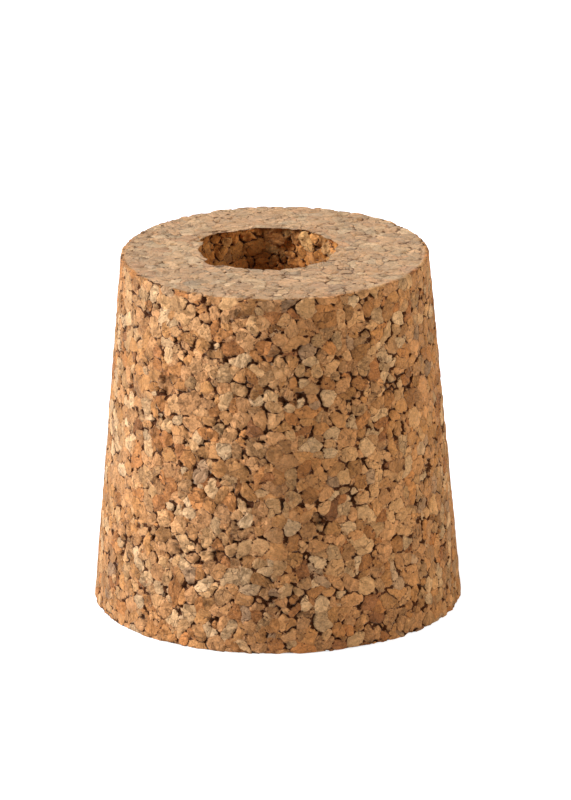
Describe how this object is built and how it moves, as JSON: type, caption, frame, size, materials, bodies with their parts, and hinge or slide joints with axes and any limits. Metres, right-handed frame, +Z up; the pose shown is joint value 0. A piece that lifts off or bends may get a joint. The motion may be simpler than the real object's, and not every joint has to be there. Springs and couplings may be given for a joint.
{
  "type": "cork stopper",
  "caption": "Tapered cork stopper of pressed granules with a tube bore right through it, to close a neck or barrel hole around a tube or airlock.",
  "frame": {"origin": "centre of the wide end's face, on the surface that the stopper stands on", "axes": "+Z up along the stopper's axis, towards the narrow end; the bore is parallel to Z, 0.9 mm towards -X and 1.4 mm towards +Y of it"},
  "size_m": [0.048, 0.048, 0.0468],
  "materials": {
    "cork": "matte cut granules with open pores"
  },
  "bodies": {
    "root": {"stopper": "cork"}
  },
  "joints": []
}
